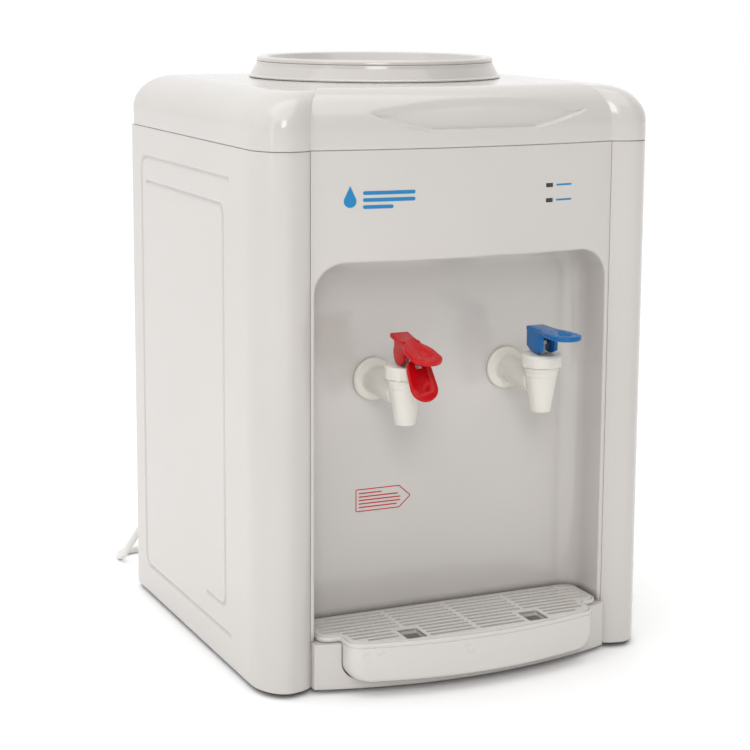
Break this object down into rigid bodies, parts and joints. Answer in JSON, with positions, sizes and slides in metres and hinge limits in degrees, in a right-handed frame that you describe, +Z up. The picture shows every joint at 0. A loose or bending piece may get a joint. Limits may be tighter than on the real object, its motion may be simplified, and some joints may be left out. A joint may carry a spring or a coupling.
{
  "type": "countertop water dispenser",
  "caption": "White countertop bottle-fed water dispenser with a red hot tap, a blue cold tap, a drip tray that slides out, and hot and cold tanks inside.",
  "frame": {"origin": "centre of the bounding box's base, without the cord, its coil and its plug: on the table under the feet", "axes": "+Z up, -Y out of the front with the taps, +X to the right seen from the front"},
  "size_m": [0.31, 0.5233, 0.441],
  "materials": {
    "body_white": "gloss",
    "tap_white": "satin",
    "tray_white": "satin",
    "red_plastic": "gloss",
    "blue_plastic": "gloss",
    "dark_plastic": "satin",
    "lamp_lens": "gloss",
    "foot_rubber": "matte",
    "steel": "satin",
    "aluminium": "satin",
    "foam": "matte",
    "silicone": "satin",
    "circuit_board": "satin",
    "ceramic_plate": "matte",
    "cord_white": "satin",
    "spring_steel": "gloss"
  },
  "bodies": {
    "cabinet": {"right_side_shell": "body_white", "left_side_shell": "body_white", "top_cover": "body_white", "front_panel": "body_white", "back_panel": "body_white", "bottle_collar": "body_white", "cold_tank": "tap_white", "cold_tank_lid": "tap_white", "tank_baffle": "tap_white", "drain_spout": "tap_white", "hot_tap_body": "tap_white", "hot_tap_nut": "tap_white", "hot_tap_cap": "tap_white", "cold_tap_body": "tap_white", "cold_tap_nut": "tap_white", "cold_tap_cap": "tap_white", "fan_frame": "dark_plastic", "hot_thermostat": "dark_plastic", "overheat_cutout": "dark_plastic", "heating_switch_housing": "dark_plastic", "cooling_switch_housing": "dark_plastic", "indicator_board": "lamp_lens", "foot_front_left": "foot_rubber", "foot_front_right": "foot_rubber", "foot_rear_left": "foot_rubber", "foot_rear_right": "foot_rubber", "strain_relief": "foot_rubber", "base_pan": "steel", "tank_shelf": "steel", "hot_tank": "steel", "band_heater": "steel", "cold_block": "aluminium", "heat_sink": "aluminium", "cold_tank_jacket": "foam", "hot_tank_jacket": "foam", "cold_hose": "silicone", "hot_hose": "silicone", "feed_hose": "silicone", "drain_hose": "silicone", "power_board": "circuit_board", "cooling_module": "ceramic_plate", "mains_cord": "cord_white", "mains_cord_coil": "cord_white", "mains_cord_tail": "cord_white", "mains_plug": "cord_white", "hot_tap_spring": "spring_steel", "cold_tap_spring": "spring_steel"},
    "tray": {"drip_tray": "tray_white"},
    "grille": {"drip_grille": "tray_white"},
    "cold_lever": {"cold_lever": "blue_plastic"},
    "cold_stem": {"cold_tap_stem": "silicone"},
    "hot_lever": {"hot_lever": "red_plastic"},
    "hot_stem": {"hot_tap_stem": "silicone"},
    "hot_catch": {"hot_safety_catch": "red_plastic"},
    "heating_rocker": {"heating_switch_rocker": "red_plastic"},
    "cooling_rocker": {"cooling_switch_rocker": "blue_plastic"},
    "fan": {"fan_rotor": "dark_plastic"},
    "drain_cap": {"drain_cap": "tap_white"},
    "bottle_seat": {"bottle_seat": "body_white", "feed_probe": "tap_white"}
  },
  "joints": [
    {"name": "tray_slide", "type": "slide", "parent": "cabinet", "child": "tray", "axis": [0, -1, 0], "range_m": [0, 0.1]},
    {"name": "grille_lift", "type": "slide", "parent": "tray", "child": "grille", "axis": [0, 0, 1], "range_m": [0, 0.03]},
    {"name": "cold_lever_hinge", "type": "hinge", "parent": "cabinet", "child": "cold_lever", "pos_m": [0.054, -0.142, 0.2392], "axis": [1, 0, 0], "range_deg": [0, 20], "stiffness_Nm_per_rad": 0.6, "springref_deg": -5.73},
    {"name": "cold_stem_slide", "type": "slide", "parent": "cabinet", "child": "cold_stem", "axis": [0, 0, 1], "range_m": [0, 0.003], "deforming": ["cold_tap_spring"]},
    {"name": "hot_lever_hinge", "type": "hinge", "parent": "cabinet", "child": "hot_lever", "pos_m": [-0.054, -0.142, 0.2392], "axis": [1, 0, 0], "range_deg": [0, 16], "stiffness_Nm_per_rad": 0.6, "springref_deg": -5.73},
    {"name": "hot_stem_slide", "type": "slide", "parent": "cabinet", "child": "hot_stem", "axis": [0, 0, 1], "range_m": [0, 0.003], "deforming": ["hot_tap_spring"]},
    {"name": "hot_catch_hinge", "type": "hinge", "parent": "hot_lever", "child": "hot_catch", "pos_m": [-0.054, -0.152, 0.242], "axis": [-1, 0, 0], "range_deg": [0, 30], "stiffness_Nm_per_rad": 0.04, "springref_deg": -11.46},
    {"name": "heating_rocker_hinge", "type": "hinge", "parent": "cabinet", "child": "heating_rocker", "pos_m": [0.07, 0.166, 0.074], "axis": [1, 0, 0], "range_deg": [0, 14]},
    {"name": "cooling_rocker_hinge", "type": "hinge", "parent": "cabinet", "child": "cooling_rocker", "pos_m": [0.1, 0.166, 0.074], "axis": [1, 0, 0], "range_deg": [0, 14]},
    {"name": "fan_spin", "type": "hinge", "parent": "cabinet", "child": "fan", "pos_m": [0, 0.157, 0.289], "axis": [0, 1, 0], "continuous": true},
    {"name": "drain_cap_pull", "type": "slide", "parent": "cabinet", "child": "drain_cap", "axis": [0, 1, 0], "range_m": [0, 0.03]},
    {"name": "bottle_seat_lift", "type": "slide", "parent": "cabinet", "child": "bottle_seat", "axis": [0, 0, 1], "range_m": [0, 0.08]}
  ],
  "couplings": [
    {"joint": "cold_stem_slide", "follows": "cold_lever_hinge", "m_per_rad": 0.0085},
    {"joint": "hot_stem_slide", "follows": "hot_lever_hinge", "m_per_rad": 0.0085}
  ]
}
